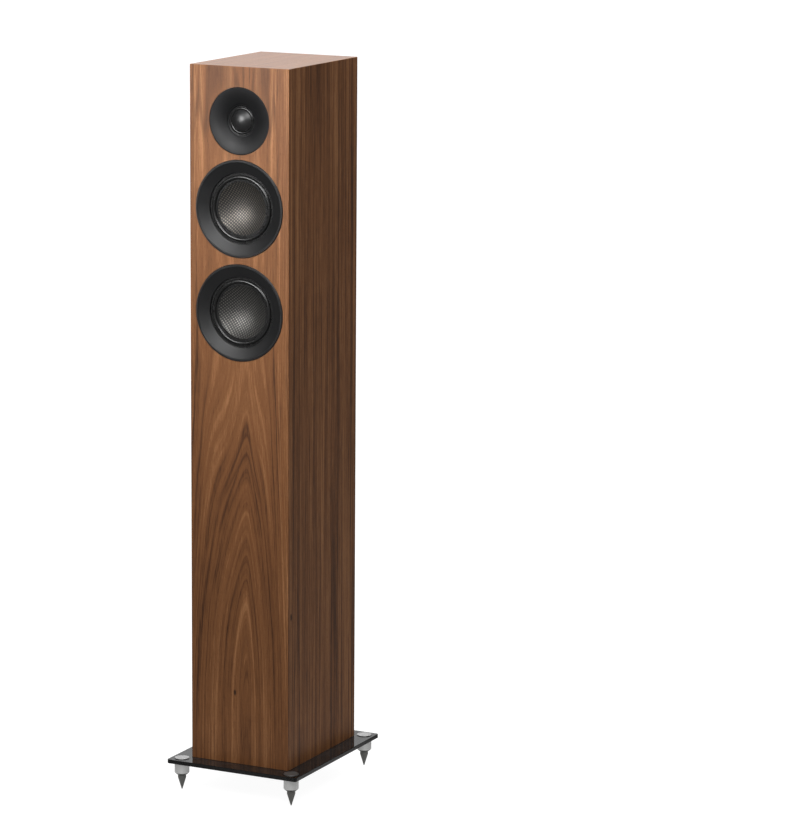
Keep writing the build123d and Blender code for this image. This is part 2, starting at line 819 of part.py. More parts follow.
# ---- Rear: port and terminals --------------------------------------------------------
def add_port():
    """Flared tube through the rear panel."""
    mouth = port_bore_radius + port_flare_radius
    outer = port_bore_radius + port_wall
    bend = port_flare_radius * (1 - cos(radians(45)))
    inner_end = port_length - port_flare_radius / 2
    tube_piece = turned(
        (port_flange_radius, port_flange_thickness),
        (port_flange_radius, 0.4),
        (port_flange_radius - 0.4, 0),
        (mouth, 0),
        ((port_bore_radius + bend, bend), (port_bore_radius, port_flare_radius)),
        (port_bore_radius, inner_end),
        (port_bore_radius + 1.5, port_length),
        (outer, port_length),
        (outer, port_flare_radius + 2),
        (outer + port_flange_thickness, port_flange_thickness),
    )
    pieces["reflex_port_tube"] = on_rear(tube_piece, 0, cabinet_bottom + port_height)


def terminal_plate_block(size, thickness):
    """Square block with rounded corners, from depth 0 inwards."""
    block = Box(size, thickness, size)
    block = fillet(block.edges().filter_by(Axis.Y), terminal_plate_corner)
    return Pos(0, thickness / 2, 0) * block


def terminal_screw_places():
    reach = terminal_plate_size / 2 - terminal_plate_corner
    middle = cabinet_bottom + terminal_height
    return [(sx * reach, middle + sz * reach) for sx in (-1, 1) for sz in (-1, 1)]


def add_terminals():
    """Recessed cup with two binding posts, whose caps screw down on captive washers."""
    middle = cabinet_bottom + terminal_height
    width, height = terminal_recess
    floor_back = terminal_recess_depth + terminal_plate_thickness
    shell = Box(width + 2 * terminal_wall, floor_back, height + 2 * terminal_wall)
    shell = Pos(0, floor_back / 2, 0) * shell
    hollow = Box(width, terminal_recess_depth, height)
    hollow = fillet(hollow.edges().filter_by(Axis.Y), terminal_plate_corner)
    hollow = Pos(0, terminal_recess_depth / 2, 0) * hollow
    plate = terminal_plate_block(terminal_plate_size, terminal_plate_thickness)
    cup = plate + shell - hollow
    for side in (-1, 1):
        cup -= Pos(side * post_spacing / 2, 0, 0) * tube(0, post_radius + hole_gap, 0, floor_back + 1)
    for x, z in terminal_screw_places():
        passage = tube(0, wood_screw[2] + rebate_gap, -1, terminal_plate_thickness + 1)
        cup -= Pos(x, 0, z - middle) * passage
    pieces["terminal_cup"] = on_rear(cup, 0, middle)

    seat = terminal_recess_depth - post_flange_thickness
    tail = floor_back + post_tail_length
    post = turned(
        (post_socket_radius, post_end_depth),
        (post_radius, post_end_depth),
        (post_radius, seat),
        (post_flange_radius, seat),
        (post_flange_radius, terminal_recess_depth),
        (post_radius, terminal_recess_depth),
        (post_radius, tail),
        (0, tail),
        (0, post_end_depth + post_socket_length),
        (post_socket_radius, post_end_depth + post_socket_length),
    )
    nut = extrude(RegularPolygon(post_nut_size / 2, 6, major_radius=False), post_nut_thickness)
    nut = Pos(0, floor_back, 0) * Rot(-90, 0, 0) * nut
    nut -= tube(0, post_radius + hole_gap, 0, floor_back + post_nut_thickness + 1)
    washer_back = seat - rest_gap
    washer_front = washer_back - clamp_washer_thickness
    bore = post_radius + running_gap
    washer = tube(bore, clamp_washer_radius, washer_front, washer_back)
    cap = turned(
        (bore, cap_end_depth),
        (cap_radius - 1.0, cap_end_depth),
        (cap_radius, cap_end_depth + 1.0),
        (cap_radius, washer_front - rest_gap),
        (bore, washer_front - rest_gap),
    )
    groove = Box(1.2, washer_front - cap_end_depth - 6, 1.2)
    groove_middle = (washer_front + cap_end_depth) / 2
    for x, z in around(cap_grooves, cap_radius + 0.2, 0):
        cap -= Pos(x, groove_middle, z) * groove

    sides = {"red": -1, "black": 1}
    posts = []
    nuts = []
    for colour, side in sides.items():
        x = side * post_spacing / 2
        posts.append(on_rear(post, x, middle))
        nuts.append(on_rear(nut, x, middle))
        pieces[colour + "_clamp_washer"] = on_rear(washer, x, middle)
        pieces[colour + "_terminal_cap"] = on_rear(cap, x, middle)
    pieces["terminal_posts"] = group(posts)
    pieces["terminal_nuts"] = group(nuts)


# ---- Crossover, rear screws and wiring -------------------------------------------------
def crossover_corner_places():
    x = crossover_width / 2 - crossover_screw_margin
    z = crossover_length / 2 - crossover_screw_margin
    middle = cabinet_bottom + crossover_height
    return [(sx * x, middle + sz * z) for sx in (-1, 1) for sz in (-1, 1)]


def add_crossover():
    """Filter board on spacers, on the inside of the rear panel."""
    middle = cabinet_bottom + crossover_height
    wall = rear - panel_thickness
    board_back = wall - spacer_length
    board_front = board_back - crossover_thickness
    board = Box(crossover_width, crossover_thickness, crossover_length)
    board = Pos(0, board_back - crossover_thickness / 2, middle) * board
    spacer = tube(wood_screw[2] + hole_gap, spacer_radius, 0, spacer_length)
    spacers = []
    for x, z in crossover_corner_places():
        passage = tube(0, wood_screw[2] + hole_gap, 0, crossover_thickness + 2)
        board -= Pos(x, board_front - 1, z) * passage
        spacers.append(Pos(x, board_back, z) * spacer)
    pieces["crossover_board"] = board
    pieces["crossover_spacers"] = group(spacers)

    coils = []
    for side, (radius, height) in zip((1, -1), inductor_sizes):
        coil = tube(inductor_bore, radius, -height, 0)
        x = side * crossover_width / 5
        z = middle + side * crossover_length / 4
        coils.append(Pos(x, board_front, z) * coil)
    pieces["crossover_inductors"] = group(coils)
    cans = []
    for n, (radius, height) in enumerate(capacitor_sizes):
        can = tube(0, radius, -height, 0)
        x = -crossover_width / 2 + 12
        z = middle + crossover_length / 2 - 22 - 20.5 * n
        cans.append(Pos(x, board_front, z) * can)
    pieces["crossover_capacitors"] = group(cans)
    bars = []
    for n in range(2):
        bar = Box(*resistor_size)
        x = crossover_width / 2 - 12 - 13 * n
        z = middle - crossover_length / 2 + 34
        bars.append(Pos(x, board_front - resistor_size[1] / 2, z) * bar)
    pieces["crossover_resistors"] = group(bars)


def add_rear_screws():
    """One size of screw holds the terminal cup from outside and the crossover from inside."""
    cup_screw = screw(wood_screw, panel_thickness - terminal_plate_thickness - 4)
    board_screw = screw(wood_screw, crossover_thickness + spacer_length + panel_thickness - 8)
    board_front = rear - panel_thickness - spacer_length - crossover_thickness
    screws = [on_rear(cup_screw, x, z) for x, z in terminal_screw_places()]
    screws += [Pos(x, board_front, z) * board_screw for x, z in crossover_corner_places()]
    pieces["rear_panel_screws"] = group(screws)


def wire(start, start_way, middles, end, end_way):
    """Round wire on one smooth curve, square on to the faces at both ends."""
    path = Edge.make_spline([start, *middles, end], tangents=[start_way, end_way])
    profile = Plane(start, z_dir=start_way) * Circle(wire_radius)
    return sweep(profile, path)


def add_wiring():
    middle = cabinet_bottom + crossover_height
    board_front = rear - panel_thickness - spacer_length - crossover_thickness
    into_board = (0, 1, 0)
    out_of_post = (0, -1, 0)
    tag_y = front + motor_depth
    wires = []
    gate_z = brace_places()[1]
    for n, z in enumerate(woofer_zs.values()):
        x = crossover_width / 2 - 24 - 6 * n
        gate = (inner_width / 2 - brace_border - 6, 8 + 8 * n, gate_z)
        above = (inner_width / 2 - brace_border - 2, -10 + 6 * n, (z + gate_z) / 2)
        end = (x, board_front, middle + crossover_length / 2 - 3)
        wires.append(wire((woofer_wire_x, tag_y, z), (0, 1, 0), [above, gate], end, into_board))
    horn_end = (2.5 - tweeter_boss_radius, front + tweeter_motor_depth, tweeter_z)
    side = -(inner_width / 2 - brace_border - 6)
    middles = [(side - 8, 20, woofer_zs["upper"]), (side - 4, 30, woofer_zs["lower"]), (side, 30, gate_z)]
    end = (side + 12, board_front, middle + crossover_length / 2 - 3)
    wires.append(wire(horn_end, (0, 1, 0), middles, end, into_board))
    tail_y = rear - terminal_recess_depth - terminal_plate_thickness - post_tail_length
    for way in (-1, 1):
        post = (way * post_spacing / 2, tail_y, cabinet_bottom + terminal_height)
        low = (way * (port_bore_radius + 11), 20, cabinet_bottom + port_height - 30)
        high = (way * (port_bore_radius + 11), 20, brace_places()[0])
        end = (way * 12, board_front, middle - crossover_length / 2 + 5)
        wires.append(wire(post, out_of_post, [low, high], end, into_board))
    pieces["internal_wiring"] = group(wires)


def main():
    add_cabinet()
    add_braces()
    add_wadding()
    add_plinth()
    add_plinth_fixings()
    add_feet()
    for name, z in woofer_zs.items():
        add_woofer(name, z)
    add_woofer_fixings()
    add_tweeter()
    add_port()
    add_terminals()
    add_crossover()
    add_rear_screws()
    add_wiring()
    os.makedirs("parts", exist_ok=True)
    for name, solid in pieces.items():
        export_step(solid, f"parts/{name}.step")


if __name__ == "__main__":
    main()
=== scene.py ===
import json
from math import cos, hypot, pi, radians, sin

import bpy
from bpy.props import FloatProperty, FloatVectorProperty, PointerProperty
from mathutils import Matrix, Vector

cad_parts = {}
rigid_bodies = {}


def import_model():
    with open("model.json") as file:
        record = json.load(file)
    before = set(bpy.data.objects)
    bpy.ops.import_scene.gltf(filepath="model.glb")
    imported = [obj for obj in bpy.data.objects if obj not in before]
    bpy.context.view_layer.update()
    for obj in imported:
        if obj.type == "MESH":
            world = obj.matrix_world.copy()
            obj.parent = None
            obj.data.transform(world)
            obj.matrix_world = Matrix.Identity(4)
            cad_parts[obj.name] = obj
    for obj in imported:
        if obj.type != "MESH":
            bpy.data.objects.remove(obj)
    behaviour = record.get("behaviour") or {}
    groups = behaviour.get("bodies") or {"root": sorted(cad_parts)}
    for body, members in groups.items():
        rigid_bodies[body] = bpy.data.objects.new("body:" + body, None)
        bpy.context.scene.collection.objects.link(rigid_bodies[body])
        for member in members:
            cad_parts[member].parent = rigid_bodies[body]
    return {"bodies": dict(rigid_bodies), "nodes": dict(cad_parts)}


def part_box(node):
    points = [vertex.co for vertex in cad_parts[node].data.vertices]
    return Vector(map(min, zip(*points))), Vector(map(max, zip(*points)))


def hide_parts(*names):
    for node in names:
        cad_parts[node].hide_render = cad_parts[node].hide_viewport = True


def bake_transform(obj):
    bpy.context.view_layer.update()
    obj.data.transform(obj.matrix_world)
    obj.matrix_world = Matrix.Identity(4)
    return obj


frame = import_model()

bl_info = {
    "name": "Floorstanding Speaker Looks",
    "version": (1, 0, 0),
    "blender": (4, 5, 0),
    "location": "View3D > Sidebar > Speaker",
    "description": "Finishes every piece of a floorstanding speaker and sets up its studio",
    "category": "Object",
}

# ---- Places read from the frame ------------------------------------------------------
CABINET_LOW, CABINET_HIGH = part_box("left_side_panel")[0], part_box("right_side_panel")[1]
FRONT_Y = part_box("front_baffle")[0].y
WOOFERS = ("upper_woofer", "lower_woofer")
FEET = ("front_left", "front_right", "rear_left", "rear_right")


def middle_of(node):
    """Centre of a node's box."""
    low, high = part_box(node)
    return (low + high) / 2


# ---- Settings a user would change ------------------------------------------------------
def colour(name, description, default):
    return FloatVectorProperty(
        name=name, description=description, default=default, subtype="COLOR", min=0, max=1
    )


def length(name, description, default):
    return FloatProperty(name=name, description=description, default=default, unit="LENGTH", min=0)


def angle(name, description, degrees):
    return FloatProperty(name=name, description=description, default=radians(degrees), subtype="ANGLE")


def power(name, description, default):
    return FloatProperty(name=name, description=description, default=default, unit="POWER", min=0)


def share(name, description, default, most=1):
    return FloatProperty(name=name, description=description, default=default, subtype="FACTOR", min=0, max=most)


class VeneerSettings(bpy.types.PropertyGroup):
    light: colour("Light Grain", "Palest streaks of the walnut", (0.36, 0.165, 0.068))
    middle: colour("Middle Grain", "Body colour of the walnut", (0.196, 0.078, 0.0275))
    dark: colour("Dark Grain", "Darkest streaks of the walnut", (0.062, 0.023, 0.009))
    band_width: length("Band Width", "Usual width of a broad band of colour", 0.0085)
    line_width: length("Line Width", "Usual width of a growth line", 0.0017)
    roughness: share("Lacquer Roughness", "Roughness of the satin lacquer", 0.42)


class DriverSettings(bpy.types.PropertyGroup):
    plastic: colour("Moulded Black", "Trim rings and horn", (0.006, 0.006, 0.0065))
    rubber: colour("Rubber", "Rolled surrounds", (0.006, 0.006, 0.006))
    thread: colour("Pale Thread", "Pale threads of the woven dish", (0.225, 0.211, 0.189))
    back_thread: colour("Dark Thread", "Dark threads of the woven dish", (0.008, 0.008, 0.008))
    thread_width: length("Thread Width", "Width of one thread of the dish", 0.0023)
    dome: colour("Dome", "Coated dome", (0.006, 0.006, 0.0065))


class PlinthSettings(bpy.types.PropertyGroup):
    glass: colour("Glass Tint", "Tint of the smoked plinth", (0.035, 0.037, 0.039))
    aluminium: colour("Aluminium", "Collars of the feet", (0.97, 0.97, 0.96))
    disc: colour("Disc", "Darker discs on the glass", (0.27, 0.27, 0.27))
    steel: colour("Spike Steel", "Darkened steel of the spikes", (0.2, 0.2, 0.19))


class StageSettings(bpy.types.PropertyGroup):
    azimuth: angle("Azimuth", "Camera's way round the speaker", 28.1533)
    elevation: angle("Elevation", "Camera's height above level", 10.9141)
    turn: angle("Turn", "Camera turned aside from the speaker", -1.8611)
    tilt: angle("Tilt", "Camera tilted up from the speaker", -0.0412)
    roll: angle("Roll", "Camera rolled about its view", -0.0376)
    distance: length("Distance", "From the camera to the middle of the cabinet", 5.4873)
    lens: FloatProperty(name="Lens", description="Focal length", default=163.603, unit="CAMERA", min=1)
    key: power("Key Light", "Soft light before the upper front", 4.3)
    fill: power("Fill Light", "Light over the camera", 106)
    top: power("Top Light", "Light straight overhead", 19)
    backdrop: share("Backdrop", "Brightness of the far left corner", 1.2, most=10)
    room: share("Room", "Brightness of the rest of the room", 0.09, most=10)


# ---- Building node trees -----------------------------------------------------------------
def join(tree, socket, value):
    """Link a socket, or set it to a plain value."""
    if isinstance(value, bpy.types.NodeSocket):
        tree.links.new(value, socket)
    elif socket.type == "RGBA" and len(value) == 3:
        socket.default_value = (*value, 1)
    else:
        socket.default_value = value


def place(tree, kind, options=None, **inputs):
    """Add a node. Underscores in input names stand for spaces."""
    node = tree.nodes.new(kind)
    for option, value in (options or {}).items():
        setattr(node, option, value)
    for name, value in inputs.items():
        join(tree, node.inputs[name.replace("_", " ")], value)
    return node


def calc(tree, operation, *values):
    """Math node; gives its output."""
    node = tree.nodes.new("ShaderNodeMath")
    node.operation = operation
    for socket, value in zip(node.inputs, values):
        join(tree, socket, value)
    return node.outputs[0]


def remap(tree, value, low, high, to_low=0.0, to_high=1.0, smooth=True):
    """Map a value from one range to another, held at both ends."""
    options = {"interpolation_type": "SMOOTHSTEP" if smooth else "LINEAR"}
    node = place(tree, "ShaderNodeMapRange", options, Value=value)
    for socket, number in zip(list(node.inputs)[1:5], (low, high, to_low, to_high)):
        join(tree, socket, number)
    return node.outputs[0]


def noise(tree, x, y, z, detail=2.0, roughness=0.5, distortion=0.0):
    """Noise read at a place that is already scaled, so that one unit is one blotch."""
    vector = place(tree, "ShaderNodeCombineXYZ", X=x, Y=y, Z=z).outputs[0]
    settings = {"Scale": 1.0, "Detail": detail, "Roughness": roughness, "Distortion": distortion}
    return place(tree, "ShaderNodeTexNoise", Vector=vector, **settings).outputs["Fac"]


def scaled(tree, sides, scale):
    """Each of some coordinates times a scale."""
    return [calc(tree, "MULTIPLY", side, scale) for side in sides]


def centred(tree, value, size):
    """Swing a value from 0 to 1 evenly about zero, over a whole range of size."""
    return calc(tree, "MULTIPLY", calc(tree, "SUBTRACT", value, 0.5), size)


def far_from(tree, first, second):
    """Distance from the origin of a point in a plane."""
    squares = [calc(tree, "POWER", side, 2.0) for side in (first, second)]
    return calc(tree, "SQRT", calc(tree, "ADD", *squares))


def mix(tree, amount, first, second):
    """Mix two colours."""
    node = tree.nodes.new("ShaderNodeMix")
    node.data_type = "RGBA"
    join(tree, node.inputs[0], amount)
    join(tree, node.inputs[6], first)
    join(tree, node.inputs[7], second)
    return node.outputs[2]


def where(tree):
    """X, Y and Z of the shaded point in the speaker's own frame, in metres."""
    coordinates = tree.nodes.new("ShaderNodeTexCoord")
    return tuple(place(tree, "ShaderNodeSeparateXYZ", Vector=coordinates.outputs["Object"]).outputs)


def effect(name, inputs, outputs):
    """Start a node group. inputs are (name, kind, default), and outputs are (name, kind)."""
    tree = bpy.data.node_groups.new(name, "ShaderNodeTree")
    new_socket = tree.interface.new_socket
    for socket_name, kind, default in inputs:
        socket = new_socket(name=socket_name, in_out="INPUT", socket_type="NodeSocket" + kind)
        socket.default_value = default
    for socket_name, kind in outputs:
        new_socket(name=socket_name, in_out="OUTPUT", socket_type="NodeSocket" + kind)
    return tree, tree.nodes.new("NodeGroupInput").outputs, tree.nodes.new("NodeGroupOutput").inputs


def use(tree, name, **inputs):
    """Put a shared effect in a tree, making it first if it is new; gives its outputs."""
    if name not in bpy.data.node_groups:
        EFFECTS[name]()
    node = tree.nodes.new("ShaderNodeGroup")
    node.node_tree = bpy.data.node_groups[name]
    for socket_name, value in inputs.items():
        join(tree, node.inputs[socket_name.replace("_", " ")], value)
    return node.outputs


def finish(name, build, **plain):
    """New material: build(tree, shader) adds its nodes, and plain sets the sockets that don't vary."""
    material = bpy.data.materials.new(name)
    material.use_nodes = True
    tree = material.node_tree
    shader = tree.nodes["Principled BSDF"]
    for socket_name, value in plain.items():
        join(tree, shader.inputs[socket_name.replace("_", " ")], value)
    build(tree, shader)
    return material


def bump(tree, shader, height, depth, strength=1.0):
    """Raise the surface by a height from 0 to 1 times depth in metres."""
    node = place(tree, "ShaderNodeBump", Height=height, Distance=depth, Strength=strength)
    tree.links.new(node.outputs[0], shader.inputs["Normal"])


# ---- Shared effects --------------------------------------------------------------------
def make_walnut_grain():
    """Walnut: bands and growth lines laid out by Across, and fibres and open pores laid out by Side."""
    tree, given, out = effect(
        "Walnut Grain",
        [
            ("Across", "Float", 0.0),
            ("Side", "Float", 0.0),
            ("Along", "Float", 0.0),
            ("Seed", "Float", 0.0),
            ("Band Width", "Float", 0.011),
            ("Line Width", "Float", 0.002),
            ("Contrast", "Float", 1.0),
            ("Light", "Color", (0.4, 0.2, 0.1, 1)),
            ("Middle", "Color", (0.2, 0.1, 0.05, 1)),
            ("Dark", "Color", (0.1, 0.04, 0.02, 1)),
            ("Roughness", "Float", 0.4),
        ],
        [("Color", "Color"), ("Roughness", "Float"), ("Height", "Float")],
    )
    across, side, along = given["Across"], given["Side"], given["Along"]

    def streaks(place_across, seed_shift, stretch, detail, roughness):
        seed = calc(tree, "ADD", given["Seed"], seed_shift) if seed_shift else given["Seed"]
        return noise(tree, place_across, seed, calc(tree, "MULTIPLY", along, stretch), detail, roughness)

    band_x = calc(tree, "DIVIDE", across, given["Band Width"])
    band = streaks(band_x, 0, 1.3, 2.5, 0.55)
    line = streaks(calc(tree, "DIVIDE", across, given["Line Width"]), 7.3, 5.0, 3.0, 0.6)
    vein_field = streaks(calc(tree, "MULTIPLY", band_x, 0.9), 21.7, 1.6, 1.5, 0.5)
    vein_near = calc(tree, "ABSOLUTE", calc(tree, "SUBTRACT", vein_field, 0.5))
    vein = remap(tree, vein_near, 0.0, 0.028, 1.0, 0.0)
    patch = streaks(calc(tree, "MULTIPLY", across, 30.0), 3.1, 6.0, 2.0, 0.5)
    vein = calc(tree, "MULTIPLY", vein, remap(tree, patch, 0.4, 0.62))
    fibre = streaks(calc(tree, "MULTIPLY", side, 1500.0), 11.9, 38.0, 2.0, 0.6)
    pore_field = streaks(calc(tree, "MULTIPLY", side, 2900.0), 15.1, 170.0, 1.0, 0.5)
    pore = remap(tree, pore_field, 0.6, 0.68)

    tone = calc(tree, "ADD", centred(tree, band, 1.45), centred(tree, line, 1.5))
    tone = calc(tree, "ADD", tone, centred(tree, fibre, 1.0))
    tone = calc(tree, "ADD", calc(tree, "MULTIPLY", tone, given["Contrast"]), 0.5)
    low = mix(tree, remap(tree, tone, 0.0, 0.5), given["Dark"], given["Middle"])
    body = mix(tree, remap(tree, tone, 0.5, 1.0), low, given["Light"])
    body = mix(tree, calc(tree, "MULTIPLY", vein, 0.55), body, given["Dark"])
    body = mix(tree, calc(tree, "MULTIPLY", pore, 0.45), body, given["Dark"])
    join(tree, out["Color"], body)
    rough = calc(tree, "ADD", given["Roughness"], centred(tree, fibre, 0.16))
    rough = calc(tree, "ADD", rough, calc(tree, "MULTIPLY", pore, 0.12))
    join(tree, out["Roughness"], rough)
    height = calc(tree, "SUBTRACT", calc(tree, "MULTIPLY", fibre, 0.3), calc(tree, "MULTIPLY", pore, 0.7))
    join(tree, out["Height"], height)


def make_arched_figure():
    """Flat-sawn figure: lines that run straight, but close into pointed arches between a foot and a head."""
    tree, given, out = effect(
        "Arched Figure",
        [
            ("Side", "Float", 0.0),
            ("Up", "Float", 0.0),
            ("Centre", "Float", 0.0),
            ("Foot", "Float", 0.1),
            ("Head", "Float", 0.6),
            ("Rise", "Float", 0.03),
            ("Point", "Float", 0.004),
        ],
        [("Across", "Float")],
    )
    side, up = given["Side"], given["Up"]
    wander = noise(tree, 3.7, calc(tree, "MULTIPLY", side, 7.0), calc(tree, "MULTIPLY", up, 4.0), 1.5)
    away = calc(tree, "SUBTRACT", calc(tree, "ADD", side, centred(tree, wander, 0.008)), given["Centre"])
    left = calc(tree, "MULTIPLY", calc(tree, "MINIMUM", away, 0.0), 0.55)
    uneven = calc(tree, "ADD", calc(tree, "MAXIMUM", away, 0.0), left)
    bowed = far_from(tree, uneven, given["Point"])
    climb = remap(tree, up, given["Foot"], given["Head"], 0.0, 1.0)
    lift = calc(tree, "MULTIPLY", climb, given["Rise"])
    centre_pull = remap(tree, bowed, 0.0, 0.05, 1.0, 0.35)
    join(tree, out["Across"], calc(tree, "ADD", bowed, calc(tree, "MULTIPLY", lift, centre_pull)))


def make_knot():
    """Small dark knot at a place on a panel, drawn out along the grain."""
    tree, given, out = effect(
        "Knot",
        [
            ("Side", "Float", 0.0),
            ("Up", "Float", 0.0),
            ("Knot Side", "Float", 0.0),
            ("Knot Up", "Float", 0.0),
            ("Size", "Float", 0.002),
            ("Color", "Color", (0.2, 0.1, 0.05, 1)),
            ("Dark", "Color", (0.02, 0.01, 0.005, 1)),
        ],
        [("Color", "Color")],
    )
    side = calc(tree, "DIVIDE", calc(tree, "SUBTRACT", given["Side"], given["Knot Side"]), given["Size"])
    up = calc(tree, "SUBTRACT", given["Up"], given["Knot Up"])
    up = calc(tree, "DIVIDE", up, calc(tree, "MULTIPLY", given["Size"], 2.2))
    ragged = noise(tree, calc(tree, "MULTIPLY", side, 1.5), 0.4, calc(tree, "MULTIPLY", up, 1.5), 2.0)
    far = calc(tree, "ADD", far_from(tree, side, up), calc(tree, "MULTIPLY", ragged, 0.6))
    join(tree, out["Color"], mix(tree, remap(tree, far, 0.7, 1.6, 0.9, 0.0), given["Color"], given["Dark"]))


def make_moulded_skin():
    """Fine even texture of moulded plastic or rubber, with slight wipe marks and dust in its roughness."""
    tree, given, out = effect(
        "Moulded Skin",
        [
            ("Color", "Color", (0.02, 0.02, 0.02, 1)),
            ("Roughness", "Float", 0.4),
            ("Grain Size", "Float", 0.0004),
            ("Dust", "Float", 0.1),
        ],
        [("Color", "Color"), ("Roughness", "Float"), ("Height", "Float")],
    )
    point = where(tree)
    fine = [calc(tree, "DIVIDE", side, given["Grain Size"]) for side in point]
    grain = noise(tree, *fine, detail=2.0, roughness=0.6)
    broad = noise(tree, *scaled(tree, point, 34.0), detail=3.0, roughness=0.6)
    geometry = tree.nodes.new("ShaderNodeNewGeometry")
    facing = place(tree, "ShaderNodeSeparateXYZ", Vector=geometry.outputs["Normal"]).outputs[2]
    dust = calc(tree, "MULTIPLY", remap(tree, facing, 0.15, 0.95), given["Dust"])
    dust = calc(tree, "MULTIPLY", dust, remap(tree, broad, 0.35, 0.65, 0.4, 1.0))
    varied = mix(tree, remap(tree, grain, 0.3, 0.7, 0.0, 0.25), given["Color"], (0.0, 0.0, 0.0))
    join(tree, out["Color"], mix(tree, dust, varied, (0.36, 0.34, 0.31)))
    rough = calc(tree, "ADD", given["Roughness"], remap(tree, broad, 0.3, 0.7, -0.035, 0.045))
    join(tree, out["Roughness"], calc(tree, "ADD", rough, calc(tree, "MULTIPLY", dust, 0.3)))
    join(tree, out["Height"], grain)


def make_turned_marks():
    """Fine rings left by a lathe, around an upright axis that repeats in the four corners."""
    tree, given, out = effect(
        "Turned Marks",
        [
            ("Axis X", "Float", 0.09),
            ("Axis Y", "Float", 0.12),
            ("Mark Width", "Float", 0.0002),
            ("Roughness", "Float", 0.25),
            ("Color", "Color", (0.8, 0.8, 0.8, 1)),
        ],
        [("Color", "Color"), ("Roughness", "Float"), ("Height", "Float")],
    )
    x, y, z = where(tree)
    off_x = calc(tree, "SUBTRACT", calc(tree, "ABSOLUTE", x), given["Axis X"])
    off_y = calc(tree, "SUBTRACT", calc(tree, "ABSOLUTE", y), given["Axis Y"])
    across = calc(tree, "DIVIDE", far_from(tree, off_x, off_y), given["Mark Width"])
    rings = noise(tree, across, 0.0, calc(tree, "DIVIDE", z, given["Mark Width"]), 1.0, 0.5)
    smear = noise(tree, *scaled(tree, (x, y, z), 160.0), detail=2.0)
    dull = remap(tree, rings, 0.3, 0.7, 0.0, 0.22)
    join(tree, out["Color"], mix(tree, dull, given["Color"], (0.12, 0.12, 0.12)))
    rough = calc(tree, "ADD", given["Roughness"], remap(tree, rings, 0.3, 0.7, -0.05, 0.08))
    join(tree, out["Roughness"], calc(tree, "ADD", rough, remap(tree, smear, 0.35, 0.65, -0.03, 0.05)))
    join(tree, out["Height"], rings)


def make_woven_cloth():
    """Plain weave: pale threads one way, dark threads the other, turned by a slant."""
    tree, given, out = effect(
        "Woven Cloth",
        [
            ("Side", "Float", 0.0),
            ("Up", "Float", 0.0),
            ("Slant", "Float", 0.0),
            ("Thread Width", "Float", 0.0023),
            ("Pale", "Color", (0.5, 0.5, 0.45, 1)),
            ("Dark", "Color", (0.01, 0.01, 0.01, 1)),
        ],
        [("Color", "Color"), ("Thread", "Float"), ("Height", "Float")],
    )
    cosine, sine = calc(tree, "COSINE", given["Slant"]), calc(tree, "SINE", given["Slant"])
    side, up = given["Side"], given["Up"]

    def threads(first, second):
        return calc(tree, "DIVIDE", calc(tree, "ADD", first, second), given["Thread Width"])

    u = threads(calc(tree, "MULTIPLY", side, cosine), calc(tree, "MULTIPLY", up, sine))
    back = calc(tree, "MULTIPLY", side, calc(tree, "MULTIPLY", sine, -1.0))
    v = threads(back, calc(tree, "MULTIPLY", up, cosine))
    odd = calc(tree, "ADD", calc(tree, "FLOOR", u), calc(tree, "FLOOR", v))
    over = calc(tree, "GREATER_THAN", calc(tree, "PINGPONG", odd, 1.0), 0.5)
    under = calc(tree, "SUBTRACT", 1.0, over)

    def swell(value, sharpness):
        turn = centred(tree, calc(tree, "FRACT", value), pi * 0.96)
        return calc(tree, "POWER", calc(tree, "COSINE", turn), sharpness)

    pale_height = calc(tree, "MULTIPLY", swell(u, 0.8), swell(v, 0.45))
    dark_height = calc(tree, "MULTIPLY", swell(v, 0.8), swell(u, 0.45))
    height = calc(tree, "MULTIPLY", pale_height, over)
    height = calc(tree, "ADD", height, calc(tree, "MULTIPLY", dark_height, under))
    strand = noise(tree, calc(tree, "MULTIPLY", u, 5.0), 2.0, calc(tree, "MULTIPLY", v, 0.9), 2.0, 0.6)
    pale = mix(tree, remap(tree, strand, 0.3, 0.7, 0.0, 0.55), given["Pale"], given["Dark"])
    raised = calc(tree, "MULTIPLY", over, remap(tree, height, 0.25, 0.8))
    join(tree, out["Color"], mix(tree, raised, given["Dark"], pale))
    join(tree, out["Thread"], raised)
    join(tree, out["Height"], height)


def make_loose_fibre():
    """Matted fibre, for wadding and felt."""
    tree, given, out = effect(
        "Loose Fibre",
        [("Color", "Color", (0.8, 0.8, 0.8, 1)), ("Fibre Size", "Float", 0.004)],
        [("Color", "Color"), ("Height", "Float")],
    )
    fine = [calc(tree, "DIVIDE", side, given["Fibre Size"]) for side in where(tree)]
    strands = noise(tree, *fine, detail=5.0, roughness=0.7, distortion=1.4)
    gap = remap(tree, strands, 0.3, 0.6, 0.45, 0.0)
    join(tree, out["Color"], mix(tree, gap, given["Color"], (0.2, 0.19, 0.18)))
    join(tree, out["Height"], strands)


EFFECTS = {
    "Walnut Grain": make_walnut_grain,
    "Arched Figure": make_arched_figure,
    "Knot": make_knot,
    "Moulded Skin": make_moulded_skin,
    "Turned Marks": make_turned_marks,
    "Woven Cloth": make_woven_cloth,
    "Loose Fibre": make_loose_fibre,
}


